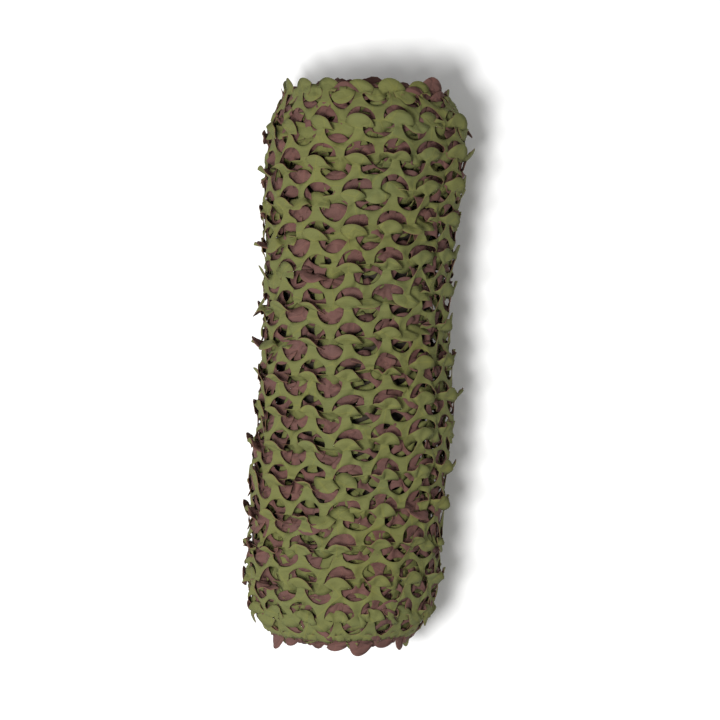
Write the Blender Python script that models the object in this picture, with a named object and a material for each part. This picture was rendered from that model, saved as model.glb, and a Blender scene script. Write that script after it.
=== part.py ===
"""A rolled camouflage net, lying on its side.

The net is die-cut sheet, folded in three lengthwise and then rolled up, so the roll is one wound solid:
soft rounded ends that show the main turns, the step where the net's outer end lies on the turn below,
slow bulges along the length, and a narrow flat where the roll rests.

Metres. +Z is up and +Y runs along the roll. The origin is on the surface, under the middle of the roll.
"""

import math

import bmesh
import bpy
from mathutils import Vector

# Driving sizes
LENGTH = 1.000
AXIS_HEIGHT = 0.157  # the roll's middle line above the surface that it lies on
CORNER_LENGTH = 0.120  # how far along the roll each soft end is rounded
CORNER_DEPTH = 0.65  # how much narrower the flat of an end is than the roll, as a share of the roll

# Winding. The outer end of the net comes over the top and down, and ends low on the +X side.
TAIL_ANGLE = math.radians(-50)
TAIL_SPREAD = math.radians(5)  # the angle over which the surface drops at the outer end
TAIL_STEP = 0.009  # three soft plies of net, pressed together
MAIN_TURNS = 4  # turns that stand out at each end of the roll
TURN_RELIEF = 0.008  # how far those turns stand out from the furrows between them
END_DISH = 0.012  # how far the middle of each end lies inside its rim
RIM_FADE = 6  # how fast the turns rise from the rim and from the middle of an end
SKIN_POWER = 3  # how fast the outer end's step and the bulges fade out towards the roll's middle line

# The roll's cross-section along its length. along: the place on the roll's middle line, as a share of half
# the length. half_width and half_height: the oval section, in metres. aside: its place towards +X.
SECTION_COLUMNS = ("along", "half_width", "half_height", "aside")
SECTIONS = (
    (-1.00, 0.172, 0.164, 0.000),
    (-0.72, 0.178, 0.168, -0.004),
    (-0.45, 0.177, 0.170, -0.002),
    (-0.18, 0.178, 0.169, 0.005),
    (0.12, 0.170, 0.165, -0.004),
    (0.36, 0.170, 0.165, -0.003),
    (0.62, 0.181, 0.170, 0.002),
    (0.82, 0.184, 0.171, 0.003),
    (1.00, 0.178, 0.167, 0.003),
)

# The soft roll's slow bulges. height: metres in or out. around and along: waves round the roll, and over
# its length. phase: where they start, in radians.
BULGE_COLUMNS = ("height", "around", "along", "phase")
BULGES = (
    (0.0022, 3, 0.8, 0.4),
    (0.0016, 7, -1.3, 2.1),
    (0.0018, 2, 2.6, 4.0),
    (0.0010, 11, 1.9, 1.0),
)

# Mesh density
AROUND_STEPS = 72
ALONG_STEPS = 21
CORNER_STEPS = 6
END_RINGS = 16

NET_COLOUR = (0.19, 0.20, 0.075, 1.0)
NET_ROUGHNESS = 0.85


def clear_scene():
    for obj in list(bpy.data.objects):
        bpy.data.objects.remove(obj, do_unlink=True)


def section_at(along):
    """The section's half width, half height and place aside, with smooth steps between the table's rows."""
    rows = [dict(zip(SECTION_COLUMNS, row)) for row in SECTIONS]
    along = max(rows[0]["along"], min(rows[-1]["along"], along))
    for low, high in zip(rows, rows[1:]):
        if along <= high["along"]:
            break
    share = (along - low["along"]) / (high["along"] - low["along"])
    share = share * share * (3 - 2 * share)
    return [low[key] + (high[key] - low[key]) * share for key in SECTION_COLUMNS[1:]]


def end_radius(rise):
    """The radius on a rounded end, as a share of the roll's. rise goes from 0 at the body to 1 at the flat."""
    return 1 - CORNER_DEPTH * (1 - math.sqrt(1 - rise * rise))


def spindle_profile():
    """Half the outline of a plain spindle of radius 1, as (radius, place along), from one end's middle to
    the other's."""
    body_end = LENGTH / 2 - CORNER_LENGTH
    flat_radius = end_radius(1)
    end = [(flat_radius * ring / END_RINGS, LENGTH / 2) for ring in range(END_RINGS)]
    for step in range(CORNER_STEPS + 1):
        rise = math.cos(math.pi / 2 * step / CORNER_STEPS)
        end.append((end_radius(rise), body_end + CORNER_LENGTH * rise))
    body = [
        (1.0, body_end - 2 * body_end * step / ALONG_STEPS)
        for step in range(1, ALONG_STEPS)
    ]
    far_end = [(radius, -along) for radius, along in reversed(end)]
    return end + body + far_end


def tail_inset(turn):
    """How far the skin lies inside the outermost turn. It is least at the net's outer end, grows evenly over
    the top and round the roll, and springs back where the outer end lies on it."""
    from_tail = (turn - TAIL_ANGLE) % math.tau
    whole = math.tau - TAIL_SPREAD
    if from_tail < whole:
        return TAIL_STEP * from_tail / whole
    return TAIL_STEP * (math.tau - from_tail) / TAIL_SPREAD


def end_inset(radius, turn):
    """How far an end's flat lies inside the roll's full length: a shallow dish with the main turns in it."""
    from_rim = max(0.0, 1 - radius / end_radius(1))
    furrow = 0.5 - 0.5 * math.cos(math.tau * MAIN_TURNS * radius / end_radius(1) - turn)
    fade = min(1.0, RIM_FADE * from_rim, RIM_FADE * radius)
    return END_DISH * from_rim + TURN_RELIEF * furrow * fade


def bulge(turn, along):
    total = 0.0
    for row in BULGES:
        wave = dict(zip(BULGE_COLUMNS, row))
        angle = wave["around"] * turn + math.tau * wave["along"] * along / LENGTH + wave["phase"]
        total += wave["height"] * math.sin(angle)
    return total


def wound_point(point):
    """Where a point of the spindle of radius 1 lies on the wound roll."""
    radius = math.hypot(point.x, point.z)
    turn = math.atan2(point.z, point.x)
    half_width, half_height, aside = section_at(2 * point.y / LENGTH)
    inset = (tail_inset(turn) - bulge(turn, point.y)) * radius**SKIN_POWER
    x = aside + radius * (half_width - inset) * math.cos(turn)
    z = AXIS_HEIGHT + radius * (half_height - inset) * math.sin(turn)
    y = point.y - math.copysign(end_inset(radius, turn), point.y)
    return Vector((x, y, max(0.0, z)))


def centre_on_origin(mesh):
    """Moves the roll level with the surface until the middle of its box stands over the origin."""
    for axis in (0, 1):
        places = [vert.co[axis] for vert in mesh.verts]
        middle = (min(places) + max(places)) / 2
        for vert in mesh.verts:
            vert.co[axis] -= middle


def net_material():
    material = bpy.data.materials.new("olive_net")
    material.use_nodes = True
    shader = material.node_tree.nodes["Principled BSDF"]
    shader.inputs["Base Color"].default_value = NET_COLOUR
    shader.inputs["Roughness"].default_value = NET_ROUGHNESS
    shader.inputs["Metallic"].default_value = 0.0
    return material


def build_roll(collection):
    """The wound solid: a profile spun into a spindle, then each point moved to where the winding puts it."""
    mesh = bmesh.new()
    points = [mesh.verts.new((radius, along, 0.0)) for radius, along in spindle_profile()]
    edges = [mesh.edges.new(pair) for pair in zip(points, points[1:])]
    bmesh.ops.spin(
        mesh,
        geom=points + edges,
        axis=(0, 1, 0),
        cent=(0, 0, 0),
        angle=math.tau,
        steps=AROUND_STEPS,
        use_merge=True,
    )
    bmesh.ops.remove_doubles(mesh, verts=mesh.verts, dist=0.00001)
    for vert in mesh.verts:
        vert.co = wound_point(vert.co)
    centre_on_origin(mesh)
    bmesh.ops.recalc_face_normals(mesh, faces=mesh.faces)
    data = bpy.data.meshes.new("net_roll")
    mesh.to_mesh(data)
    mesh.free()
    data.shade_smooth()
    data.materials.append(net_material())
    collection.objects.link(bpy.data.objects.new("net_roll", data))


def main():
    clear_scene()
    collection = bpy.data.collections.new("rolled_camouflage_net")
    bpy.context.scene.collection.children.link(collection)
    build_roll(collection)


main()
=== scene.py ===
"""The looks of a rolled camouflage net: leaf-cut cloth, green on one face and brown on the other, folded in
three lengthwise and rolled up. Metres, +Z up, +Y along the roll."""

import math

import bmesh
import bpy
import numpy as np
from bpy.props import FloatProperty, FloatVectorProperty, IntProperty, PointerProperty
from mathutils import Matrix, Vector
from mathutils.bvhtree import BVHTree


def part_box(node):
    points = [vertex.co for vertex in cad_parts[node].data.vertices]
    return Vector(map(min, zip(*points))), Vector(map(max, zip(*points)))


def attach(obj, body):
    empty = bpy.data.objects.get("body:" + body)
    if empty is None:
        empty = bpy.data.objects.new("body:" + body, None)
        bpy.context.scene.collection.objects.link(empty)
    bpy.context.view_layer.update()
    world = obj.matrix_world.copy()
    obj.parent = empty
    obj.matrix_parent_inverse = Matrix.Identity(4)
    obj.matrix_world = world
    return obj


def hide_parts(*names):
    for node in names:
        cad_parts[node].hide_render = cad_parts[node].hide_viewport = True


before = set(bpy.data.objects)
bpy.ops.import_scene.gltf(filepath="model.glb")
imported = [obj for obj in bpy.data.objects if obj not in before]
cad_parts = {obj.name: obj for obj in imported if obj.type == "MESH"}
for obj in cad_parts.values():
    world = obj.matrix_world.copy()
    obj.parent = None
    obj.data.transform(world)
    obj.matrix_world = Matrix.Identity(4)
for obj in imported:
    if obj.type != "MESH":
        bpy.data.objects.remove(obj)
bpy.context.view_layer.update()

bl_info = {
    "name": "Rolled camouflage net",
    "version": (1, 0, 0),
    "blender": (4, 5, 0),
    "location": "View3D > Sidebar > Rolled net",
    "description": "Builds a rolled leaf-cut net around its construction solid",
    "category": "Object",
}

MILLIMETRE = 0.001
FLAT_UV = "flat_cloth"  # the UV map that holds each point's place in the flat cloth, in metres
MERGED = 0.01 * MILLIMETRE  # points nearer than this are one
ON_CUT = 0.02 * MILLIMETRE  # how near to a cut an edge has to be to lie on it
ON_TRIM = 0.05 * MILLIMETRE  # and a point to the line along which cloth is trimmed
SHORTEST_EDGE = 0.3 * MILLIMETRE  # shorter edges are left out
OUTER_DETAIL = {"rings": 2, "steps": 14, "cuts": 3}  # how finely the leaves and bands are divided
END_DETAIL = {"rings": 1, "steps": 10, "cuts": 1}

# The roll, as its construction solid has it
TAIL_ANGLE = math.radians(-50)  # where the net's outer end lies, from +X towards +Z
TOP_ANGLE = math.radians(90)
TAIL_STEP = 0.009  # how far the solid's skin drops at that end
TAIL_SPREAD = math.radians(5)  # the angle over which it drops
SKIN_ANGLES = 144
SKIN_PLACES = 96
SKIN_RANGE = (-0.485, 0.485)  # where the side of the roll is measured along it
BODY_REACH = 0.37  # how far from the middle the side is straight
PAST_SKIN = 0.5  # a distance that is outside the solid all round
END_PLACES = 40
END_SHARES = (0.02, 0.97)  # where the ends are measured, as a share of the way from middle line to side
WINDING_STEPS = 4000  # steps in which the winding's length is measured
WINDING_BEFORE = 0.1  # how far before the net's outer end that starts, in radians
WINDING_PAST = 0.5  # and how many turns past the net's inner end it stops
INNER_END = 0.5  # how far short of its full turns the net's inner end lies, in radians

PLY_COUNT = 3  # plies in one turn of the folded net
NET_ROWS = 46.5  # rows of cuts over the net's whole width

FOLD_WAVES = ((1.3, 0.002), (3.1, 0.002), (7.7, 0.002))  # waves of a fold in a turn, and their size
FOLD_PHASES = {1: 1, -1: 11}  # how far round the roll they are shifted at each end, in radians
PLY_SKEWS = (0.0, -0.14, 0.10)  # how much more than the outer ply's the rows of each ply slant
SKEW_FADE = 0.2  # how far from a fold that is reached
EDGE_PAST = -0.011  # how far the net's long edges reach past the folds beside them
COLUMN_SHIFT = 0.009  # puts the columns of leaves in their places round the roll
OVERLAP = 0.020  # how far the outermost turn runs on under its own outer end
END_WRAP = 0.482  # the outer turns are drawn in over the rounded ends as far as this
END_SHORT = {1: 0.014, -1: -0.001}  # how far the folds stop short of that at each end
INNER_SHORT = ((0.95, 0.0), (1.15, 0.016))  # how much shorter still, by turns from the net's outer end
PRESSED_PLACES = (0.37, 0.46)  # between these places along the roll the plies of a turn come together
PRESSED_SIDES = (0.0, 0.7)  # and downwards between these, as the sine of the angle round the roll
CALM_PLACES = (0.38, 0.44)  # between these places along the roll the cloth gets calmer
CALM = 0.35  # how far its leaves and held spots stray at the ends, against 1 in the middle
TIGHT = 0.08  # and how much of its room in and out the cloth keeps there
PEAK_ANGLE = math.radians(117)  # where the outermost turn's fold stands up at the +Y end
PEAK_WIDTH = math.radians(11)
PEAK = 0.012  # and how far it does
# The strips of cloth that show at the ends, along the low edge, the two folds and the high edge of the folded
# width, with the rows of cuts that each keeps below and above that line
END_STRIPS = (("bottom_edges", 0, 3), ("top_folds", 2, 2), ("bottom_folds", 2, 2), ("top_edges", 3, 0))
CORE_REACH = 0.43  # how far the body inside the plies reaches each way along the roll
CORE_DEPTH = 0.040  # and how deep under the skin it starts
CORE_SEGMENTS = 96
# Near-black: painted shade for the deep inside of the roll, where the wound cloth is green and brown
PAINTED_CORE_SHADE = (0.03, 0.022, 0.014)
FREE_BY_FOLD = 0.020  # the net isn't held this near to a fold
FOLD_ROOM = (0.012, 0.0015)  # and may move this far in or out at its first and its second fold
PAST_FOLD = 0.003  # leaves that stand out further than this past a fold keep their shape
# The ways that the leaves of each ply start: the share of leaves, their turn out of the cloth in degrees, and
# how much it varies
OUTER_TURN_LEAVES = (
    ((0.86, 67, 10), (0.09, -35, 20), (0.05, 130, 12)),
    ((0.50, -28, 14), (0.30, 14, 10), (0.20, -60, 10)),
    ((0.50, -28, 14), (0.30, 14, 10), (0.20, -60, 10)),
)
END_TURN_LEAVES = (((0.6, 20, 12), (0.4, -15, 12)),) * PLY_COUNT
# The share of the ridges' relief in each ply, and how far its cloth may go inwards and outwards
OUTER_TURN_ROOM = ((1.0, 0.018, 0.022), (0.6, 0.016, 0.009), (0.6, 0.014, 0.009))
END_TURN_ROOM = ((0.2, 0.004, 0.004),) * PLY_COUNT
OUTER_SEED, END_SEED = 11, 21  # where the chances of the outermost turn and of the end strips start
UNTIDY = ((0.0, 1.0), (0.45, 0.7), (0.65, 1.4), (1.0, 2.4))  # up the roll: how many leaves lie otherwise
PRESSED_FLAT = ((0.6, 1.0), (0.9, 0.7))  # up the roll: how far the leaves stand out
# By the sine of the angle round the roll, 1 at its top: the share of leaves that stand, and how far out
STANDING = ((-1, 0.2), (-0.3, 0.25), (0.1, 0.3), (0.5, 0.9), (0.6, 1.0))
STANDING_OUT = ((-0.2, 0.55), (0.5, 1.0))
LYING = 0.15  # how far out the other leaves stand
TURNED_OVER = 0.45  # the share of the leaves just before the first fold that turn over with it
TURNED_LATE = 0.022  # how far before the fold the row of such leaves may lie
TURNED_OUT = 16  # how far they lean out, in degrees
STRAIGHT_OUT = ((0.010, 0.2), (0.035, 1.0))  # away from a fold: how much of its lean a leaf has
CHANCES = 64  # pairs of leaves, each way, before the chances repeat
RIDGE_LOW, RIDGE_HIGH = -0.001, 0.0035  # relief of the outer ply under its leaves
ROUGHNESS = 0.0003  # small unevenness of the cloth
WANDER = (0.003, 0.003, 0.0015)  # how far the held spots lie from their even places along each axis
HELD_SPOT = (0.5, 0.25)  # where the net is held, in shares of a column and of a row
HELD_SIZE = 0.04  # and how large that spot is, as such a share
ROW_START = 1e-6  # a point this little below a row's line belongs to the band above it, as a share of a row
SWAY = 0.004  # how far the rows and columns of leaves sway from their even places
SWAY_WAVES = (2.1, 2)  # waves of it in a metre along the roll, and in a turn
SWAY_SHIFT = 2.5  # how far the waves are shifted from ply to ply, in radians
# How the rows of leaves slant: place along the roll, and rise towards +X
SLANTS = ((-0.48, 0.03), (-0.40, 0.05), (0.0, 0.14), (0.25, 0.20), (0.38, 0.12), (0.47, 0.0))

# The cloth's finish. Marks: how many of each kind there are in a metre. Shown and raised: how strongly each
# shows in the colour and in the relief
MARKS = {
    "blotch": 9.0, "patch": 38.0, "speck": 420.0, "highlit_crease": 19.0, "pull": 9.0, "facet": 24.0, "thread": 320.0,
    "fuzz": 60.0,
}
# In the colour, the crease marks are a painted highlight, lightening the crease lines, and the pull marks are
# painted shade, darkening the soft folds along the pull
SHOWN = {"patch": 0.5, "highlit_crease": 0.35, "speck": 0.25, "pull": 0.3}
RAISED = {"highlit_crease": 0.6, "thread": 0.08, "fuzz": 0.4, "pull": 1.5}
GREEN_FACETS, BROWN_FACETS = 8.0, 22.0  # the relief of each face's pressed facets
SOFT = (0.3, 0.7)  # the part of a noise's range over which a soft mark fades in
# The part of the pull noise over which its painted shade fades in
FOLD_SHADE_RANGE = (0.52, 0.7)
PLAIN_DETAIL, FUZZ_DETAIL = 2.0, 4.0
CREASE_WIDTH = 0.035
PULL_ANGLE = math.radians(-38)
PULL_STRETCH, FACET_STRETCH = (1, 9, 1), (1, 2, 1)
# The creases' tone is a painted highlight and the pull's tone is painted shade; the specks are the cloth's
# own
CREASE_HIGHLIGHT, SPECK_TONE, FOLD_SHADE_TONE = 1.25, 0.6, 0.7  # how light each is, against the plain cloth
BUMP = {"Strength": 0.35, "Distance": 0.0012}
CLOTH_ROUGHNESS, SPECK_ROUGHNESS, CLOTH_SPECULAR = 0.78, 0.12, 0.15
PLAIN_ROUGHNESS, PLAIN_TONES = 0.9, (0.6, 1.3)
WARM_GREEN, COOL_GREEN = (1.12, 1.04, 0.75), (0.82, 0.95, 1.15)
WARM_BROWN, COOL_BROWN = (1.15, 1.0, 0.95), (0.8, 0.9, 1.0)

# The stage
IMAGE_SIZE = 720
METRES_PER_PIXEL = 0.00175  # at the height of the roll's middle line
CAMERA_DISTANCE = 4.5  # above that line
CAMERA_ASIDE = (0.0096, 0.0026)
CAMERA_LEAN = math.radians(2.3)  # how far the camera is turned about its own line of sight
ROLL_HEIGHT = 0.157  # the roll's middle line above the floor
# The name, place, size in metres and power in watts of each light
LIGHTS = (("key", (-0.65, -0.45, 3.35), 0.7, 108), ("side", (-2.6, -0.9, 1.4), 1.6, 24))
WORLD_LIGHT = 0.41

FLOOR_SIZE = 6
FLOOR_COLOUR = (0.95, 0.95, 0.95, 1)
FLOOR_ROUGHNESS = 0.9
LIGHTS_AIM = (0, 0, 0.1)

# Settling
OVER_RELAX = 1.9  # how much of the mean pull on a point is taken up in a round
KEPT_SPEED = 0.92  # the share of its speed that a point keeps from round to round
FASTEST = 0.002  # how far a point may move in a round
BEND_STRENGTH = 0.25  # how strongly the cloth flattens, against 1 for how strongly it keeps its size
SHARP_BEND = math.radians(25)  # a bend that starts sharper than this is kept
SETTLE_ROUNDS = 200
FLOOR_CLEARANCE = 0.0005
TINY = 1e-12  # keeps a length that is divided by from being nothing
BOTH_HELD = 1e-9  # and the looseness of a pair of held points


class NetSizes(bpy.types.PropertyGroup):
    """Sizes of the cut cloth, and of the roll that it is wound into."""

    leaf_pitch: FloatProperty(
        name="Leaf pitch", description="From leaf to leaf along a row of cuts", default=0.0665, unit="LENGTH"
    )
    cut_radius: FloatProperty(
        name="Cut radius", description="Radius of the round part of a cut", default=0.0262, unit="LENGTH"
    )
    row_pitch: FloatProperty(
        name="Row pitch", description="From row to row of cuts in flat cloth", default=0.0505, unit="LENGTH"
    )
    open_row_pitch: FloatProperty(
        name="Open row pitch", description="From row to row where the net is pulled open", default=0.0597,
        unit="LENGTH",
    )
    squeeze: FloatProperty(
        name="Squeeze", description="Share of its flat width that the wavy net keeps", default=0.966,
        subtype="FACTOR",
    )
    margin: FloatProperty(
        name="Margin", description="Uncut cloth along the net's long edges", default=0.011, unit="LENGTH"
    )
    thickness: FloatProperty(
        name="Thickness", description="Thickness of the cloth", default=0.0009, unit="LENGTH"
    )
    ply_gap: FloatProperty(
        name="Ply gap", description="From ply to ply in the roll", default=0.0048, unit="LENGTH"
    )
    loose_gap: FloatProperty(
        name="Loose gap", description="From ply to ply in a turn, where they aren't pressed together",
        default=0.0095, unit="LENGTH",
    )
    skin_depth: FloatProperty(
        name="Skin depth", description="From the leaf tips to the outer ply", default=0.002, unit="LENGTH"
    )
    turns: IntProperty(name="Turns", description="Turns in the roll", default=11)


class NetColours(bpy.types.PropertyGroup):
    """Colours of the cloth."""

    green: FloatVectorProperty(
        name="Green", description="The cloth's green face", subtype="COLOR", default=(0.134, 0.139, 0.0465)
    )
    brown: FloatVectorProperty(
        name="Brown", description="The cloth's brown face", subtype="COLOR", default=(0.128, 0.064, 0.054)
    )
    cut_edge: FloatVectorProperty(
        name="Cut edge", description="The cloth's edge along the cuts", subtype="COLOR",
        default=(0.15, 0.07, 0.04),
    )


# ---------------------------------------------------------------------------------------------------------
# The cloth, cut and flat


def open_chain(bm, points):
    """A run of edges through these points."""
    verts = [bm.verts.new(point) for point in points]
    return verts, [bm.edges.new(pair) for pair in zip(verts, verts[1:])]


def half_disc(bm, sizes, middle, side, rings, steps):
    """The cloth of one leaf, spun from a spoke: above its row of cuts with side 1, below it with side -1."""
    neck = sizes.leaf_pitch / 2 - sizes.cut_radius
    reach = sizes.cut_radius - neck
    spoke = [Vector((middle, 0, 0))]
    spoke += [Vector((middle + neck + reach * ring / rings, 0, 0)) for ring in range(rings + 1)]
    verts, edges = open_chain(bm, spoke)
    bmesh.ops.spin(
        bm, geom=verts + edges, cent=spoke[0], axis=(0, 0, side), angle=math.pi, steps=steps
    )


def band(bm, sizes, steps, cuts):
    """The cloth between two rows of cuts, over one leaf's pitch: a wavy band, bridged between its edges."""
    pitch, radius, row = sizes.leaf_pitch, sizes.cut_radius, sizes.row_pitch
    angles = [math.pi * step / steps for step in range(steps + 1)]
    crest = [Vector((radius * math.sin(a), radius * math.cos(a), 0)) for a in angles[: steps // 2 + 1]]
    low = crest + [Vector((pitch / 2, 0, 0))] + [Vector((pitch - p.x, p.y, 0)) for p in reversed(crest)]
    dip = [Vector((pitch / 2 - radius * math.cos(a), row - radius * math.sin(a), 0)) for a in angles]
    high = [Vector((0, row, 0))] + dip + [Vector((pitch, row, 0))]
    edges = open_chain(bm, low)[1] + open_chain(bm, high)[1]
    rungs = bmesh.ops.bridge_loops(bm, edges=edges)["edges"]
    bmesh.ops.subdivide_edges(bm, edges=rungs, cuts=cuts, use_grid_fill=True)


def is_cut(sizes, edge):
    """Whether an edge of the tile lies on a cut: on a leaf's round edge, or on its straight back cut."""
    ends = [vert.co for vert in edge.verts]
    middle = (ends[0] + ends[1]) / 2
    row = sizes.row_pitch * round(middle.y / sizes.row_pitch)
    pitch = sizes.leaf_pitch
    nearest = {1: pitch * round(middle.x / pitch), -1: pitch * (math.floor(middle.x / pitch) + 0.5)}
    for shift in (-sizes.row_pitch, 0, sizes.row_pitch):
        for side, centre in nearest.items():
            arms = [Vector((end.x - centre, end.y - row - shift)) for end in ends]
            if all(abs(arm.length - sizes.cut_radius) < ON_CUT and side * arm.y > -ON_CUT for arm in arms):
                return True
    neck = pitch / 2 - sizes.cut_radius
    from_leaf = (middle.x + sizes.cut_radius) % pitch - sizes.cut_radius
    on_row = all(abs(end.y - row) < ON_CUT for end in ends)
    return on_row and neck < from_leaf < sizes.cut_radius


def leaf_tile(sizes, rings, steps, cuts):
    """One leaf above and one below a row of cuts, and the band above the row, with the cuts as seams."""
    bm = bmesh.new()
    half_disc(bm, sizes, 0, 1, rings, steps)
    half_disc(bm, sizes, sizes.leaf_pitch / 2, -1, rings, steps)
    band(bm, sizes, steps, cuts)
    bmesh.ops.remove_doubles(bm, verts=bm.verts, dist=MERGED)
    for edge in bm.edges:
        edge.seam = is_cut(sizes, edge)
    return bm


def repeat(bm, step, count):
    """Copies everything count times in all, a step apart."""
    first = bm.verts[:] + bm.edges[:] + bm.faces[:]
    for index in range(1, count):
        copies = bmesh.ops.duplicate(bm, geom=first)["geom"]
        verts = [item for item in copies if isinstance(item, bmesh.types.BMVert)]
        bmesh.ops.translate(bm, verts=verts, vec=Vector(step) * index)


def trim(bm, point, outward):
    """Cuts away all that lies beyond a straight line through the flat cloth."""
    bmesh.ops.bisect_plane(
        bm, geom=bm.verts[:] + bm.edges[:] + bm.faces[:], dist=ON_TRIM, plane_co=point,
        plane_no=outward, clear_outer=True,
    )


def cut_cloth(sizes, across, along, plain_edges, detail):
    """Flat net with its rows of cuts made. across and along are its (low, high) limits; the first row of
    cuts is at 0. plain_edges says whether the low and the high long edge are left uncut."""
    pitch, row = sizes.leaf_pitch, sizes.row_pitch
    first_column, last_column = math.floor(across[0] / pitch) - 1, math.ceil(across[1] / pitch) + 1
    first_row, last_row = math.floor(along[0] / row) - 1, math.ceil(along[1] / row) + 1
    bm = leaf_tile(sizes, **detail)
    repeat(bm, (pitch, 0, 0), last_column - first_column)
    repeat(bm, (0, row, 0), last_row - first_row)
    bmesh.ops.translate(bm, verts=bm.verts, vec=(pitch * first_column, row * first_row, 0))
    bmesh.ops.remove_doubles(bm, verts=bm.verts, dist=MERGED)
    lowest = along[0] + sizes.margin if plain_edges[0] else along[0] - row
    highest = along[1] - sizes.margin if plain_edges[1] else along[1] + row
    cuts_kept = [
        edge for edge in bm.edges
        if edge.seam and lowest - MILLIMETRE < min(v.co.y for v in edge.verts)
        and max(v.co.y for v in edge.verts) < highest + MILLIMETRE
    ]
    bmesh.ops.split_edges(bm, edges=cuts_kept)
    trim(bm, (across[0], 0, 0), (-1, 0, 0))
    trim(bm, (across[1], 0, 0), (1, 0, 0))
    trim(bm, (0, along[0], 0), (0, -1, 0))
    trim(bm, (0, along[1], 0), (0, 1, 0))
    bmesh.ops.dissolve_degenerate(bm, edges=bm.edges[:], dist=SHORTEST_EDGE)
    bmesh.ops.triangulate(bm, faces=bm.faces[:])
    bm.normal_update()
    bmesh.ops.reverse_faces(bm, faces=[face for face in bm.faces if face.normal.z < 0])
    flat = bm.loops.layers.uv.new(FLAT_UV)
    for face in bm.faces:
        for loop in face.loops:
            loop[flat].uv = loop.vert.co.xy
    return bm


# ---------------------------------------------------------------------------------------------------------
# The shape of the roll


def read_table(grid, rows, columns, low, high, wrap):
    """Reads a grid of numbers between its points. rows are places in its first direction, which wraps round
    where wrap is set, and columns places in its second, from low to high."""
    height, width = grid.shape
    down = rows / math.tau * height if wrap else rows
    right = np.clip((columns - low) / (high - low) * (width - 1), 0, width - 1.001)
    first, left = np.floor(down).astype(int), np.floor(right).astype(int)
    part, share = down - first, right - left
    first, second = first % height, (first + 1) % height
    top = grid[first, left] * (1 - share) + grid[first, left + 1] * share
    bottom = grid[second, left] * (1 - share) + grid[second, left + 1] * share
    return top * (1 - part) + bottom * part


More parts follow.
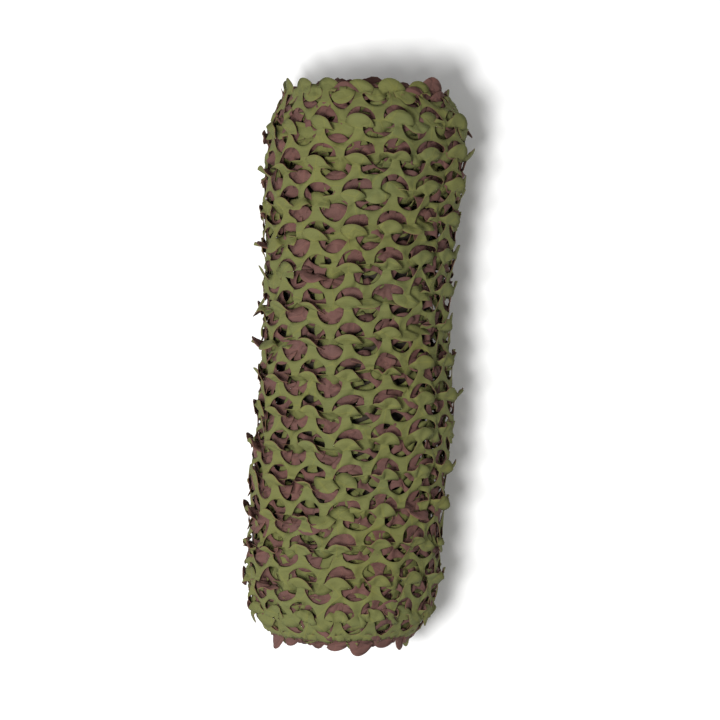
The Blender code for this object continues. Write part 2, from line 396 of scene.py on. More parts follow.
class Roll:
    """The wound shape, measured on the construction solid: its skin without the step at the net's outer end,
    and how far each turn reaches at both ends."""

    def __init__(self, sizes):
        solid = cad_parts["net_roll"]
        corners = [vert.co for vert in solid.data.vertices]
        tree = BVHTree.FromPolygons(corners, [face.vertices for face in solid.data.polygons])
        low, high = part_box("net_roll")
        self.centre = (low + high) / 2
        self.gap = sizes.loose_gap
        self.pressed = sizes.ply_gap / sizes.loose_gap
        self.turn_depth = PLY_COUNT * sizes.ply_gap
        self.skin_depth = sizes.skin_depth
        self.angles = np.arange(SKIN_ANGLES) * math.tau / SKIN_ANGLES
        self.side = self.side_reaches(tree)
        self.ends = {way: self.end_places(tree, way) for way in (-1, 1)}
        self.measure_winding(sizes.turns)

    def side_reaches(self, tree):
        """How far the side is from the middle line, by angle and place along, without the tail's step."""
        places = np.linspace(*SKIN_RANGE, SKIN_PLACES)
        rays = [[self.side_ray(tree, angle, place) for place in places] for angle in self.angles]
        return np.array(rays) + self.tail_drop()[:, None]

    def end_places(self, tree, way):
        """Where one end of the solid lies along the roll, by angle and by share of the way out."""
        shares = np.linspace(*END_SHARES, END_PLACES)
        rays = [[self.end_ray(tree, angle, share, way) for share in shares] for angle in self.angles]
        return np.array(rays)

    def tail_drop(self):
        """How far the tail's step lowers the skin at each angle."""
        from_tail = (self.angles - TAIL_ANGLE) % math.tau
        whole = math.tau - TAIL_SPREAD
        dropped = np.where(from_tail < whole, from_tail / whole, (math.tau - from_tail) / TAIL_SPREAD)
        return TAIL_STEP * dropped

    def side_ray(self, tree, angle, along):
        """How far the solid's side is from the middle line."""
        outward = Vector((math.cos(angle), 0, math.sin(angle)))
        start = Vector((self.centre.x, along, self.centre.z)) + outward * PAST_SKIN
        return PAST_SKIN - tree.ray_cast(start, -outward)[3]

    def end_ray(self, tree, angle, share, way):
        """Where the solid ends along the roll, at a share of the way from its middle line to its side."""
        reach = share * self.side_ray(tree, angle, way * BODY_REACH)
        start = self.centre + Vector((math.cos(angle), 0, math.sin(angle))) * reach
        start.y = way * BODY_REACH
        return tree.ray_cast(start, Vector((0, way, 0)))[0].y

    def radius(self, turned, along, depth):
        """Distance from the middle line of a ply at this depth, turned so far from the net's outer end."""
        body = self.skin(turned, np.clip(along, -BODY_REACH, BODY_REACH))
        wound = self.skin_depth + depth + self.turn_depth * turned / math.tau
        return (body - wound) * self.drawn_in(turned, along)

    def skin(self, turned, along):
        return read_table(self.side, (turned + TAIL_ANGLE) % math.tau, along, *SKIN_RANGE, True)

    def drawn_in(self, turned, along):
        """The share of its size that the roll keeps near its rounded ends. All its turns draw in alike."""
        return self.skin(turned, along) / self.skin(turned, np.clip(along, -BODY_REACH, BODY_REACH))

    def end_reach(self, turned, depth, way):
        """How far along the roll a turn reaches at the end that way points to."""
        angle = (turned + TAIL_ANGLE) % math.tau
        body = np.full_like(turned, way * BODY_REACH)
        share = self.radius(turned, body, depth) / self.skin(turned, body)
        flat_end = read_table(self.ends[way], angle, share, *END_SHARES, True)
        return way * np.maximum(way * flat_end, END_WRAP)

    def measure_winding(self, turns):
        """Lengths of cloth wound up at each angle, along the middle of the roll."""
        self.turned = np.linspace(-WINDING_BEFORE, math.tau * (turns + WINDING_PAST), WINDING_STEPS)
        reach = self.radius(self.turned, 0 * self.turned, 0)
        steps = np.hypot(np.diff(reach), reach[1:] * np.diff(self.turned))
        self.length = np.concatenate([[0], np.cumsum(steps)])
        self.length -= np.interp(0, self.turned, self.length)

    def turned_at(self, length):
        return np.interp(length, self.length, self.turned)

    def length_at(self, turned):
        return np.interp(turned, self.turned, self.length)

    def point(self, turned, along, reach):
        """Points in space, by the angle turned, the place along and the reach from the middle line."""
        angle = turned + TAIL_ANGLE
        return np.stack(
            [self.centre.x + reach * np.cos(angle), along, self.centre.z + reach * np.sin(angle)], axis=1
        )

    def fold_places(self, turned):
        """How far the folds reach along the roll at its two ends, and how far across the cloth from its low
        edge are that edge, its first fold, its second fold and its high edge."""
        bend = self.gap / 2
        short = bend + np.interp(turned / math.tau, *zip(*INNER_SHORT))
        high = self.end_reach(turned, bend, 1) - short - END_SHORT[1] + self.unevenness(turned, 1)
        high = high + PEAK * np.exp(-(((turned + TAIL_ANGLE - PEAK_ANGLE) / PEAK_WIDTH) ** 2))
        low = self.end_reach(turned, 3 * bend, -1) + short + END_SHORT[-1] + self.unevenness(turned, -1)
        first = high - low + EDGE_PAST
        second = first + math.pi * bend + high - low
        last = second + math.pi * bend + high - low + EDGE_PAST
        return high, low, (0 * turned, first, second, last)

    @staticmethod
    def unevenness(turned, way):
        """How far a turn's fold lies past its even place, at the end that way points to."""
        phase = FOLD_PHASES[way]
        return sum(size * np.sin(waves * turned + phase * waves) for waves, size in FOLD_WAVES)

    def folded(self, turned, place):
        """Where a point of the folded width lies. place is its way across the cloth from the low edge of the
        outer ply, over the fold at the +Y end, back, and over the fold at the -Y end. Gives the place along
        the roll, the plies above it, the depth, and how far the green face looks outwards, from 1 to -1."""
        bend = self.gap / 2
        arc = math.pi * bend
        high, low, (_, first, second, _) = self.fold_places(turned)
        over = np.clip((place - first) / bend, 0, math.pi)
        under = np.clip((place - second) / bend, 0, math.pi)
        along = np.select(
            [place < first, place < first + arc, place < second, place < second + arc],
            [low - EDGE_PAST + place, high + bend * np.sin(over), high - (place - first - arc),
             low - bend * np.sin(under)],
            low + place - second - arc,
        )
        above = 1 - (np.cos(over) + np.cos(under)) / 2
        loose = np.interp(abs(along), PRESSED_PLACES, (1, 0))
        loose = loose * np.interp(np.sin(turned + TAIL_ANGLE), PRESSED_SIDES, (0, 1))
        depth = above * self.gap * (self.pressed + (1 - self.pressed) * loose)
        return along, above, depth, np.cos(over) * np.cos(under)


# ---------------------------------------------------------------------------------------------------------
# Settling the cloth


def links_of(flat, start, triangles, bend_strength):
    """The pairs of points that hold the cloth's shape, with the distance and strength of each: its edges at
    their cut length, and weaker ones across each edge, which keep the sharp bends that it starts with and
    flatten the others."""
    sides = np.concatenate([triangles[:, [0, 1]], triangles[:, [1, 2]], triangles[:, [2, 0]]])
    across = np.concatenate([triangles[:, 2], triangles[:, 0], triangles[:, 1]])
    face = np.tile(np.arange(len(triangles)), 3)
    edges, owner = np.unique(np.sort(sides, axis=1), axis=0, return_inverse=True)
    owner = owner.ravel()
    order = np.argsort(owner, kind="stable")
    shared = owner[order][1:] == owner[order][:-1]
    one, two = order[:-1][shared], order[1:][shared]
    hinges = np.stack([across[one], across[two]], axis=1)
    pairs = np.concatenate([edges, hinges])
    lengths = np.linalg.norm(flat[pairs[:, 0]] - flat[pairs[:, 1]], axis=1)
    corners = start[triangles]
    normals = np.cross(corners[:, 1] - corners[:, 0], corners[:, 2] - corners[:, 0])
    normals /= np.linalg.norm(normals, axis=1)[:, None] + TINY
    bend = np.einsum("ij,ij->i", normals[face[one]], normals[face[two]])
    bend = np.where(bend < math.cos(SHARP_BEND), bend, 1)
    flat_corners = flat[triangles]
    doubled_areas = np.cross(flat_corners[:, 1] - flat_corners[:, 0], flat_corners[:, 2] - flat_corners[:, 0])
    arms = doubled_areas[face[one]] * doubled_areas[face[two]] / lengths[owner[one]] ** 2
    shorter = np.maximum(lengths[len(edges):] ** 2 - 2 * arms * (1 - bend), MILLIMETRE**2)
    lengths[len(edges):] = np.sqrt(shorter)
    strengths = np.concatenate([np.ones(len(edges)), np.full(len(hinges), bend_strength)])
    return pairs, lengths, strengths


def settle(start, links, held, nearest, farthest, slope, centre, rounds):
    """Lets the cloth take back its cut size where it isn't held. nearest and farthest are how close to the
    roll's middle line and how far from it each point may be, and slope how fast both grow along the roll."""
    pairs, lengths, strengths = links
    count = len(start)
    one, two = pairs.T
    loose = np.where(held, 0.0, 1.0)
    share = strengths / (loose[one] + loose[two] + BOTH_HELD)
    total = np.bincount(one, strengths, count) + np.bincount(two, strengths, count)
    ease = (loose * OVER_RELAX / np.maximum(total, 1))[:, None]
    place = start.copy()
    speed = np.zeros_like(place)
    for _ in range(rounds):
        moved = place + speed * KEPT_SPEED
        apart = moved[two] - moved[one]
        distance = np.sqrt(np.einsum("ij,ij->i", apart, apart)) + TINY
        pull = apart * (share * (distance - lengths) / distance)[:, None]
        push = [np.bincount(one, p, count) - np.bincount(two, p, count) for p in pull.T]
        moved += np.stack(push, axis=1) * ease
        reach = np.hypot(moved[:, 0] - centre.x, moved[:, 2] - centre.z)
        wider = slope * (moved[:, 1] - start[:, 1])
        scale = np.clip(reach, nearest + wider, farthest + wider) / reach
        moved[:, 0] = centre.x + (moved[:, 0] - centre.x) * scale
        moved[:, 2] = np.maximum(FLOOR_CLEARANCE, centre.z + (moved[:, 2] - centre.z) * scale)
        moved[held] = start[held]
        speed = np.clip(moved - place, -FASTEST, FASTEST)
        place = place + speed
    return place


def parts_of(sizes, flat, triangles, cut_rows):
    """For each point of the cloth: the row and column of the pair of leaves that it belongs to, and its
    height over the row's line within a leaf, which is 0 in the band between rows. cut_rows are the first and
    the last row of cuts."""
    pitch, row = sizes.leaf_pitch, sizes.row_pitch
    middle = flat[triangles].mean(axis=1)
    rows = np.round(middle[:, 1] / row)
    height = middle[:, 1] - rows * row
    above, below = np.round(middle[:, 0] / pitch), np.floor(middle[:, 0] / pitch) + 1
    in_above = (height > 0) & (np.hypot(middle[:, 0] - above * pitch, height) < sizes.cut_radius)
    in_below = (height < 0) & (np.hypot(middle[:, 0] - (below - 0.5) * pitch, height) < sizes.cut_radius)
    column = np.where(in_above, above, below)
    inside = (in_above | in_below) & (rows >= cut_rows[0]) & (rows <= cut_rows[1])
    owner = np.zeros((len(flat), 2), int)
    heights = np.zeros(len(flat))
    for corner in range(3):
        points = triangles[inside, corner]
        owner[points] = np.stack([rows, column], axis=1)[inside]
        heights[points] = flat[points, 1] - rows[inside] * row
    return owner, heights


def arrays_of(bm):
    """The points and triangles of a mesh."""
    bm.verts.index_update()
    flat = np.array([vert.co[:2] for vert in bm.verts])
    return flat, np.array([[vert.index for vert in face.verts] for face in bm.faces])


def relief_of(sizes, flat, in_leaf):
    """How far the band between two rows of cuts stands out. It is a ridge above each leaf that points up,
    which starts below the cloth's level at the cut's crown and is highest at the leaf's foot."""
    crown = sizes.cut_radius / sizes.row_pitch
    up = (flat[:, 1] / sizes.row_pitch) % 1
    climb = np.clip((up - crown) / (1 - crown), 0, 1)
    ridge = np.cos(math.pi * flat[:, 0] / sizes.leaf_pitch) ** 2
    return np.where(in_leaf, 0, ridge * (climb * (RIDGE_HIGH - RIDGE_LOW) + RIDGE_LOW))


def leaf_turns(chance, kinds, untidy):
    """How far each pair of leaves is turned out of the cloth, in degrees, as an even part and one that
    varies. untidy says for each row of cuts how many times more leaves than in kinds aren't of the first."""
    shares, turns, spreads = np.array(kinds).T
    draw = chance.random((CHANCES, CHANCES)) / untidy[:, None]
    kind = len(kinds) - 1 - np.searchsorted(np.cumsum(shares[:0:-1]), draw)
    return turns[kind], chance.normal(0, spreads[kind]) * np.sqrt(untidy)[:, None]


class LaidNet:
    """A flat net on its way onto the roll. Row 0 of its cuts lies shift past a line of the folded width, and
    first_length is how much cloth is wound up at its first column of leaves."""

    def __init__(self, roll, sizes, bm, cut_rows, first_length, line, shift):
        self.roll, self.sizes = roll, sizes
        self.flat, self.triangles = arrays_of(bm)
        self.owner, self.heights = parts_of(sizes, self.flat, self.triangles, cut_rows)
        self.in_leaf = self.heights != 0
        self.pair = tuple(self.owner.T % CHANCES)
        self.from_foot = self.flat[:, 0] - self.owner[:, 1] * sizes.leaf_pitch
        self.hung = np.minimum(-2 * self.from_foot / sizes.leaf_pitch, 1)
        self.turned = roll.turned_at(first_length - self.flat[:, 0] * sizes.squeeze)
        column_length = first_length - self.owner[:, 1] * sizes.leaf_pitch * sizes.squeeze
        self.to_top = np.sin(roll.turned_at(column_length) + TAIL_ANGLE)
        self.high, self.low, self.lines = roll.fold_places(self.turned)
        self.place, self.leaf_line = self.pulled_open(self.lines[line] + shift)
        self.along, self.above, self.depth, self.facing = roll.folded(self.turned, self.place)
        self.calm = np.interp(abs(self.along), CALM_PLACES, (1, CALM))

    def pulled_open(self, origin):
        """Where each point, and its leaf's row of cuts, lies across the folded width with the cuts open."""
        row = self.sizes.row_pitch
        opening = self.sizes.open_row_pitch - row
        leaf_row = self.owner[:, 0]
        band_number = np.floor(self.flat[:, 1] / row + ROW_START)
        place = origin + np.where(self.in_leaf, leaf_row * row, self.flat[:, 1])
        place += opening * np.where(self.in_leaf, leaf_row - 1 + self.hung, band_number)
        return place, origin + leaf_row * row + opening * (leaf_row - 0.5)

    def from_folds(self, place):
        """How far a place across the folded width is from the nearer fold."""
        return np.min([abs(place - fold) for fold in self.lines[1:3]], axis=0)

    def lean_leaves(self, chance, leaves):
        """Finds the ply of each point, and how far its leaf leans out of the cloth, in radians."""
        turned_over = chance.random((CHANCES, CHANCES)) < TURNED_OVER
        late = TURNED_LATE * turned_over[self.pair] * (self.leaf_line < self.lines[1])
        leaf_ply = self.roll.folded(self.turned, self.leaf_line + late)[1]
        ply = np.where(self.in_leaf, leaf_ply, self.above)
        self.ply = np.clip(np.round(ply).astype(int), 0, PLY_COUNT - 1)
        rows_up = np.arange(CHANCES) * self.sizes.open_row_pitch / (self.high - self.low).mean()
        up = 1 - abs(1 - rows_up % 2)
        untidy = np.interp(up, *zip(*UNTIDY))
        turns = np.array([leaf_turns(chance, kinds, untidy) for kinds in leaves])
        even_turn, odd_turn = turns[self.ply, :, self.pair[0], self.pair[1]].T
        stands = chance.random((CHANCES, CHANCES))[self.pair] < np.interp(self.to_top, *zip(*STANDING))
        standing = np.where(stands, np.interp(self.to_top, *zip(*STANDING_OUT)), LYING)
        standing *= np.interp(up, *zip(*PRESSED_FLAT))[self.pair[0]]
        straight = np.interp(self.from_folds(self.leaf_line), *zip(*STRAIGHT_OUT))
        turn = (even_turn * standing + odd_turn) * straight * self.calm
        self.tilt = np.radians(np.where(late * (self.ply == 1) > 0, TURNED_OUT, turn))

    def put_on_roll(self, chance, room):
        """Puts each point at its place on the roll, its leaf leaning out, and says which ones stay there."""
        sizes = self.sizes
        self.relief, self.inward, self.outward = np.array(room).T[:, self.ply]
        onward = np.where(self.ply % 2 == 0, 1, -1)
        along = self.along + onward * self.heights * np.cos(self.tilt)
        self.inside = np.clip(along, self.low, self.high)
        self.web = self.roll.radius(self.turned, self.inside, self.depth)
        self.drawn_in = self.roll.drawn_in(self.turned, self.inside)
        self.tight = np.interp(abs(along), CALM_PLACES, (1, TIGHT))
        lift = np.where(self.in_leaf, RIDGE_HIGH * (1 - np.clip(self.hung, 0, 1)), 0)
        lift = relief_of(sizes, self.flat, self.in_leaf) + lift
        reach = self.web + lift * self.relief * self.facing + onward * self.heights * np.sin(self.tilt)
        reach += chance.normal(0, ROUGHNESS, len(self.flat))
        sway = SWAY * np.sin(math.tau * SWAY_WAVES[0] * along + SWAY_SHIFT * self.above)
        outside = self.in_leaf & ((along > self.high + PAST_FOLD) | (along < self.low - PAST_FOLD))
        from_middle = self.from_foot + np.where(self.heights > 0, 0, sizes.leaf_pitch / 2)
        spread = np.where(outside, -from_middle * (1 - sizes.squeeze * self.drawn_in), 0)
        self.start = self.roll.point(self.turned + (sway + spread) / self.web, along, reach)
        self.slant_rows(along)
        self.start[:, 2] = np.maximum(FLOOR_CLEARANCE, self.start[:, 2])
        from_spot = np.stack([self.flat[:, 0] / sizes.leaf_pitch, self.flat[:, 1] / sizes.row_pitch], 1)
        from_spot = from_spot % 1 - HELD_SPOT
        self.near_fold = self.from_folds(self.place) < FREE_BY_FOLD
        pinned = (np.hypot(*from_spot.T) < HELD_SIZE) & ~self.near_fold
        self.start[pinned] += chance.normal(0, 1, (pinned.sum(), 3)) * WANDER * self.calm[pinned, None]
        self.held = pinned | outside

    def slant_rows(self, along):
        """Moves the points along the roll, as its rows of leaves sway and slant."""
        wave = np.sin(SWAY_WAVES[1] * self.turned + SWAY_SHIFT * self.above + math.tau * along)
        self.start[:, 1] += SWAY * self.tight * wave
        skew = np.array(PLY_SKEWS)[self.ply] * np.minimum(self.from_folds(self.place) / SKEW_FADE, 1)
        self.start[:, 1] += self.start[:, 0] * (np.interp(self.start[:, 1], *zip(*SLANTS)) + skew)

    def opened_links(self, slope):
        """The links of the cloth, drawn in and lengthened as the rounded ends of the roll need."""
        pairs, lengths, strengths = links_of(self.flat, self.start, self.triangles, BEND_STRENGTH)
        longer = np.where(self.in_leaf, 1, np.hypot(1, slope))
        width, height = abs(self.flat[pairs[:, 0]] - self.flat[pairs[:, 1]]).T
        across = width * self.drawn_in[pairs].mean(axis=1)
        scale = np.hypot(across, height * longer[pairs].mean(axis=1))
        return pairs, lengths * scale / np.hypot(width, height), strengths

    def settled(self):
        """The points after the cloth has settled, within the room that its ply has."""
        fold_room = np.where(abs(self.place - self.lines[1]) < FREE_BY_FOLD, *FOLD_ROOM)
        inward = np.where(self.near_fold, fold_room, self.inward * self.tight)
        outward = self.outward * np.where(self.in_leaf & (self.ply == 0), self.calm, self.tight)
        outward = np.where(self.near_fold, fold_room, outward)
        nearest = self.web - inward * self.drawn_in
        farthest = self.web + outward * self.drawn_in
        further = self.roll.radius(self.turned, self.inside + MILLIMETRE, self.depth)
        slope = (further - self.web) / MILLIMETRE
        links = self.opened_links(slope)
        centre = self.roll.centre
        return settle(self.start, links, self.held, nearest, farthest, slope, centre, SETTLE_ROUNDS)


def lay_net(net, bm, leaves, room, seed):
    """Lays a flat net along the winding and lets it settle. Gives the ply that each face is in."""
    chance = np.random.default_rng(seed)
    net.lean_leaves(chance, leaves)
    net.put_on_roll(chance, room)
    for vert, point in zip(bm.verts, net.settled()):
        vert.co = point
    return net.ply[net.triangles].min(axis=1)


# ---------------------------------------------------------------------------------------------------------
# Materials


class Value:
    """A socket in a material's nodes. Arithmetic on it adds Math nodes."""

    def __init__(self, maker, socket):
        self.maker = maker
        self.socket = socket

    def math(self, operation, *others):
        return self.maker.node("ShaderNodeMath", {"operation": operation}, dict(enumerate((self, *others))))

    def __add__(self, other):
        return self.math("ADD", other)

    def __radd__(self, other):
        return self.math("ADD", other)

    def __mul__(self, other):
        return self.math("MULTIPLY", other)

    def __rmul__(self, other):
        return self.math("MULTIPLY", other)

    def __sub__(self, other):
        return self.math("SUBTRACT", other)

    def __rsub__(self, other):
        return (self * -1) + other


class ClothMaker:
    """Adds nodes to one material."""

    def __init__(self, name):
        self.material = bpy.data.materials.new(name)
        self.material.use_nodes = True
        self.tree = self.material.node_tree
        self.shader = self.tree.nodes["Principled BSDF"]

    def node(self, kind, settings=None, values=None, output=0):
        """Adds a node, sets it, fills its sockets with numbers, colours or links, and gives an output."""
        node = self.tree.nodes.new(kind)
        for name, value in (settings or {}).items():
            setattr(node, name, value)
        for name, value in (values or {}).items():
            self.fill(node.inputs[name], value)
        return Value(self, node.outputs[output])

    def fill(self, socket, value):
        if isinstance(value, Value):
            self.tree.links.new(value.socket, socket)
        else:
            socket.default_value = value

    def mix(self, factor, first, second):
        """A colour between two colours."""
        values = {"Factor": factor, 6: first, 7: second}
        return self.node("ShaderNodeMix", {"data_type": "RGBA"}, values, 2)

    def noise(self, place, scale, detail=3.0):
        values = {"Vector": place, "Scale": scale, "Detail": detail}
        return self.node("ShaderNodeTexNoise", None, values)

    def cells(self, place, scale):
        """The distance to the edges between cells of cloth."""
        values = {"Vector": place, "Scale": scale}
        return self.node("ShaderNodeTexVoronoi", {"feature": "DISTANCE_TO_EDGE"}, values)

    def threads(self, place, direction):
        values = {"Vector": place, "Scale": MARKS["thread"]}
        return self.node("ShaderNodeTexWave", {"bands_direction": direction}, values)

    def turned(self, place, stretch):
        """The place turned to the way in which the cloth is pulled, and drawn out along it."""
        values = {"Vector": place, "Rotation": (0, 0, PULL_ANGLE), "Scale": stretch}
        return self.node("ShaderNodeMapping", None, values)

    def step(self, value, low, high):
        """0 below low, 1 above high, and smooth between."""
        settings = {"interpolation_type": "SMOOTHSTEP"}
        return self.node("ShaderNodeMapRange", settings, {"Value": value, "From Min": low, "From Max": high})


def shade(colour, factor):
    return (*(part * factor for part in colour), 1.0)


def tint(colour, factors):
    return tuple(part * factor for part, factor in zip(colour, factors))


def cloth_material(name, colour, warm, cool, facet_relief):
    """Matt woven cloth with soft blotches, pressed creases in relief with a painted highlight along them,
    soft folds along its pull in relief with painted shade along them, and a fine weave.
    """
    maker = ClothMaker(name)
    place = maker.node("ShaderNodeUVMap", {"uv_map": FLAT_UV})
    solid = maker.node("ShaderNodeTexCoord", output=3)
    blotch = maker.step(maker.noise(solid, MARKS["blotch"]), *SOFT)
    patch = maker.step(maker.noise(place, MARKS["patch"]), *SOFT)
    speck = maker.noise(place, MARKS["speck"], PLAIN_DETAIL)
    highlit_crease = 1 - maker.step(maker.cells(place, MARKS["highlit_crease"]), 0.0, CREASE_WIDTH)
    pull = maker.noise(maker.turned(place, PULL_STRETCH), MARKS["pull"], PLAIN_DETAIL)
    facet = maker.cells(maker.turned(place, FACET_STRETCH), MARKS["facet"])
    tone = maker.mix(blotch, shade(cool, 1.0), shade(warm, 1.0))
    tone = maker.mix(patch * SHOWN["patch"], shade(colour, 1.0), tone)
    # Painted highlight: the crease lines are lightened and warmed
    tone = maker.mix(highlit_crease * SHOWN["highlit_crease"], tone, shade(warm, CREASE_HIGHLIGHT))
    tone = maker.mix(speck * SHOWN["speck"], tone, shade(colour, SPECK_TONE))
    # Painted shade: the soft folds along the pull are darkened
    tone = maker.mix(maker.step(pull, *FOLD_SHADE_RANGE) * SHOWN["pull"], tone, shade(colour, FOLD_SHADE_TONE))
    maker.fill(maker.shader.inputs["Base Color"], tone)
    weave = maker.threads(place, "X") + maker.threads(place, "Y")
    relief = highlit_crease * RAISED["highlit_crease"] + weave * RAISED["thread"]
    relief = relief + maker.noise(place, MARKS["fuzz"], FUZZ_DETAIL) * RAISED["fuzz"]
    relief = relief + pull * RAISED["pull"] + facet * facet_relief
    maker.fill(maker.shader.inputs["Normal"], maker.node("ShaderNodeBump", None, {**BUMP, "Height": relief}))
    maker.fill(maker.shader.inputs["Roughness"], CLOTH_ROUGHNESS + speck * SPECK_ROUGHNESS)
    maker.shader.inputs["Specular IOR Level"].default_value = CLOTH_SPECULAR
    return maker.material


def plain_material(name, colour):
    """Matt cloth in one plain colour with a little random variation: the cut edge's own colour along the
    cuts, and painted shade deep inside the roll.
    """
    maker = ClothMaker(name)
    solid = maker.node("ShaderNodeTexCoord", output=3)
    tone = maker.mix(maker.noise(solid, MARKS["fuzz"]), *(shade(colour, factor) for factor in PLAIN_TONES))
    maker.fill(maker.shader.inputs["Base Color"], tone)
    maker.shader.inputs["Roughness"].default_value = PLAIN_ROUGHNESS
    return maker.material


def net_materials(colours):
    """The cloth's green face, its brown face and its cut edge, in the order of a piece's slots."""
    green, brown = tuple(colours.green), tuple(colours.brown)
    return [
        cloth_material("green_cloth", green, tint(green, WARM_GREEN), tint(green, COOL_GREEN), GREEN_FACETS),
        cloth_material("brown_cloth", brown, tint(brown, WARM_BROWN), tint(brown, COOL_BROWN), BROWN_FACETS),
        plain_material("cut_edge", tuple(colours.cut_edge)),
    ]


# ---------------------------------------------------------------------------------------------------------
# Pieces


def add_piece(name, bm, materials):
    mesh = bpy.data.meshes.new(name)
    bm.to_mesh(mesh)
    mesh.shade_smooth()
    for material in materials:
        mesh.materials.append(material)
    piece = bpy.data.objects.new(name, mesh)
    bpy.context.scene.collection.objects.link(piece)
    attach(piece, "root")
    return piece


def thicken(piece, thickness):
    """Gives the cloth its thickness. Slot 0 is its green face, 1 its brown face and 2 its cut edge."""
    solidify = piece.modifiers.new("thickness", "SOLIDIFY")
    solidify.thickness = thickness
    solidify.offset = 0
    solidify.material_offset = 1
    solidify.material_offset_rim = 2


def part_of(bm, keep):
    """A copy of the mesh with only the faces that keep lists as true."""
    part = bm.copy()
    part.faces.ensure_lookup_table()
    dropped = [part.faces[index] for index in np.nonzero(~keep)[0]]
    bmesh.ops.delete(part, geom=dropped, context="FACES")
    return part


def lay_piece(name, bm, faces, materials, sizes):
    """Makes one piece of the net from some faces of a settled cloth."""
    part = part_of(bm, faces)
    piece = add_piece(name, part, materials)
    # This is the settled cloth's area and not the cut's, so it can't show stretch
    settled_area = sum(face.calc_area() for face in part.faces)
    thicken(piece, sizes.thickness)
    return piece


class NET_OT_outer_turn(bpy.types.Operator):
    """Lays the outermost turn of the folded net round the roll"""

    bl_idname = "net.outer_turn"
    bl_label = "Outer turn"

    def execute(self, context):
        sizes = context.scene.net_sizes
        roll = Roll(sizes)
        materials = net_materials(context.scene.net_colours)
        first_length = roll.length_at(TOP_ANGLE - TAIL_ANGLE) + COLUMN_SHIFT
        last_length = roll.length_at(math.tau) + OVERLAP
        across = [(first_length - end) / sizes.squeeze for end in (last_length, 0)]
        edge = sizes.cut_radius + sizes.margin
        along = (-edge, NET_ROWS * sizes.row_pitch)
        bm = cut_cloth(sizes, across, along, (True, False), OUTER_DETAIL)
        net = LaidNet(roll, sizes, bm, (0, math.inf), first_length, 0, edge)
        ply = lay_net(net, bm, OUTER_TURN_LEAVES, OUTER_TURN_ROOM, OUTER_SEED)
        for index, name in enumerate(("outer_ply", "middle_ply", "inner_ply")):
            piece = lay_piece(name, bm, ply == index, materials, sizes)
            if index == 0:
                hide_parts("net_roll")
        return {"FINISHED"}


class NET_OT_end_turns(bpy.types.Operator):
    """Lays the folds and edges of the turns inside, which show at both ends of the roll"""

    bl_idname = "net.end_turns"
    bl_label = "End turns"

    def execute(self, context):
        sizes = context.scene.net_sizes
        roll = Roll(sizes)
        materials = net_materials(context.scene.net_colours)
        first_length = roll.length_at(math.tau) + OVERLAP
        last_length = roll.length_at(math.tau * sizes.turns - INNER_END)
        across = (0, (last_length - first_length) / sizes.squeeze)
        edge = sizes.cut_radius + sizes.margin
        for line, (name, below, above) in enumerate(END_STRIPS):
            low = (0.5 - below) * sizes.row_pitch if below else -edge
            high = (above - 0.5) * sizes.row_pitch if above else edge
            bm = cut_cloth(sizes, across, (low, high), (not below, not above), END_DETAIL)
            cut_rows = (min(0, 1 - below), max(0, above - 1))
            shift = edge * (bool(above) - bool(below))
            net = LaidNet(roll, sizes, bm, cut_rows, last_length, line, shift)
            lay_net(net, bm, END_TURN_LEAVES, END_TURN_ROOM, END_SEED + line)
            lay_piece(name, bm, np.ones(len(bm.faces), bool), materials, sizes)
        return {"FINISHED"}


class NET_OT_core(bpy.types.Operator):
    """Fills the roll behind the cloth that shows with a near-black body, painted shade for the deep inside of
    the roll
    """

    bl_idname = "net.core"
    bl_label = "Core"

    def execute(self, context):
        bm = core_mesh(Roll(context.scene.net_sizes))
        # The inner turns' material is painted shade: near-black, where the wound cloth is green and brown
        piece = add_piece("inner_turns", bm, [plain_material("inner_turns", PAINTED_CORE_SHADE)])
        return {"FINISHED"}


def core_mesh(roll):
    """The wound net inside the plies that are modelled, as one closed body."""
    bm = bmesh.new()
    bmesh.ops.create_cone(bm, cap_ends=True, segments=CORE_SEGMENTS, radius1=1, radius2=1, depth=2)
    for vert in bm.verts:
        turned = np.array([math.atan2(vert.co.y, vert.co.x) - TAIL_ANGLE])
        along = np.array([math.copysign(CORE_REACH, vert.co.z)])
        reach = roll.radius(turned % math.tau, along, CORE_DEPTH)
        reach = reach + roll.turn_depth * (turned % math.tau) / math.tau
        vert.co = roll.point(turned, along, reach)[0]
    bmesh.ops.recalc_face_normals(bm, faces=bm.faces)
    return bm


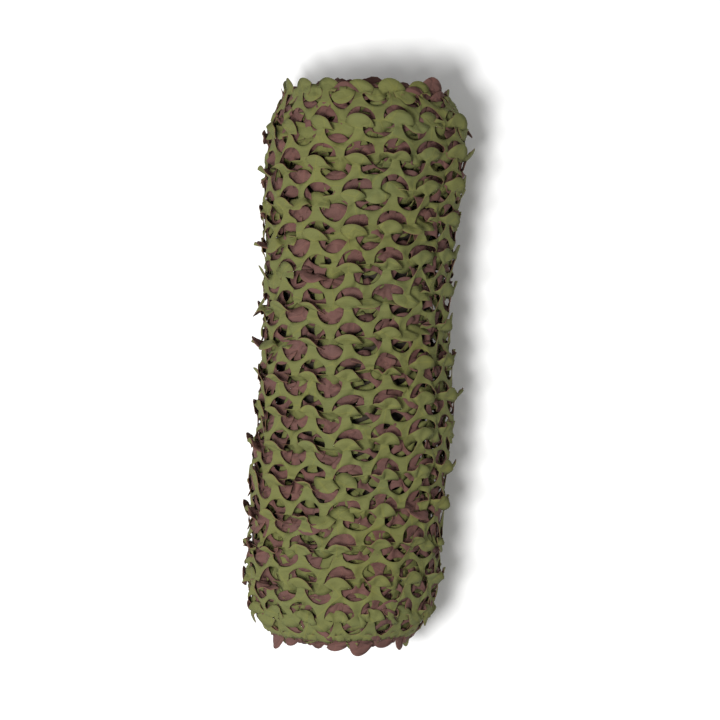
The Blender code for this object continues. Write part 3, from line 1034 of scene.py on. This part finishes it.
class NET_OT_stage(bpy.types.Operator):
    """Sets the floor, the lights and the camera above the roll"""

    bl_idname = "net.stage"
    bl_label = "Stage"

    def execute(self, context):
        scene = context.scene
        scene.view_settings.view_transform = "Standard"
        bm = bmesh.new()
        bmesh.ops.create_grid(bm, x_segments=1, y_segments=1, size=FLOOR_SIZE)
        mesh = bpy.data.meshes.new("floor")
        bm.to_mesh(mesh)
        maker = ClothMaker("floor")
        maker.shader.inputs["Base Color"].default_value = FLOOR_COLOUR
        maker.shader.inputs["Roughness"].default_value = FLOOR_ROUGHNESS
        mesh.materials.append(maker.material)
        floor = bpy.data.objects.new("floor", mesh)
        scene.collection.objects.link(floor)
        for name, place, size, power in LIGHTS:
            light = bpy.data.lights.new(name, "AREA")
            light.size = size
            light.energy = power
            lamp = bpy.data.objects.new(name, light)
            scene.collection.objects.link(lamp)
            lamp.location = place
            lamp.rotation_euler = (Vector(LIGHTS_AIM) - lamp.location).to_track_quat("-Z", "Y").to_euler()
        world = bpy.data.worlds.new("room")
        world.use_nodes = True
        background = world.node_tree.nodes["Background"]
        background.inputs["Color"].default_value = (1, 1, 1, 1)
        background.inputs["Strength"].default_value = WORLD_LIGHT
        scene.world = world
        camera = bpy.data.objects.new("camera", bpy.data.cameras.new("camera"))
        scene.collection.objects.link(camera)
        scene.camera = camera
        metres_wide = IMAGE_SIZE * METRES_PER_PIXEL
        camera.data.lens = camera.data.sensor_width * CAMERA_DISTANCE / metres_wide
        camera.location = (CAMERA_ASIDE[0], CAMERA_ASIDE[1], ROLL_HEIGHT + CAMERA_DISTANCE)
        camera.rotation_euler = (0, 0, CAMERA_LEAN)
        return {"FINISHED"}


class NET_PT_rolled(bpy.types.Panel):
    """Lists what the add-on builds, and the sizes that it works from"""

    bl_idname = "NET_PT_rolled"
    bl_label = "Rolled net"
    bl_space_type = "VIEW_3D"
    bl_region_type = "UI"
    bl_category = "Rolled net"

    def draw(self, context):
        layout = self.layout
        for group in (context.scene.net_sizes, context.scene.net_colours):
            box = layout.box()
            for name in group.bl_rna.properties.keys():
                if name not in ("rna_type", "name"):
                    box.prop(group, name)
        for operator in OPERATORS:
            layout.operator(operator.bl_idname)


OPERATORS = (NET_OT_outer_turn, NET_OT_end_turns, NET_OT_core, NET_OT_stage)
CLASSES = (NetSizes, NetColours, *OPERATORS, NET_PT_rolled)


def register():
    for item in CLASSES:
        bpy.utils.register_class(item)
    bpy.types.Scene.net_sizes = PointerProperty(type=NetSizes)
    bpy.types.Scene.net_colours = PointerProperty(type=NetColours)


def unregister():
    del bpy.types.Scene.net_colours
    del bpy.types.Scene.net_sizes
    for item in reversed(CLASSES):
        bpy.utils.unregister_class(item)


def main():
    register()
    bpy.ops.net.outer_turn()
    bpy.ops.net.end_turns()
    bpy.ops.net.core()
    bpy.ops.net.stage()


if __name__ == "__main__":
    main()
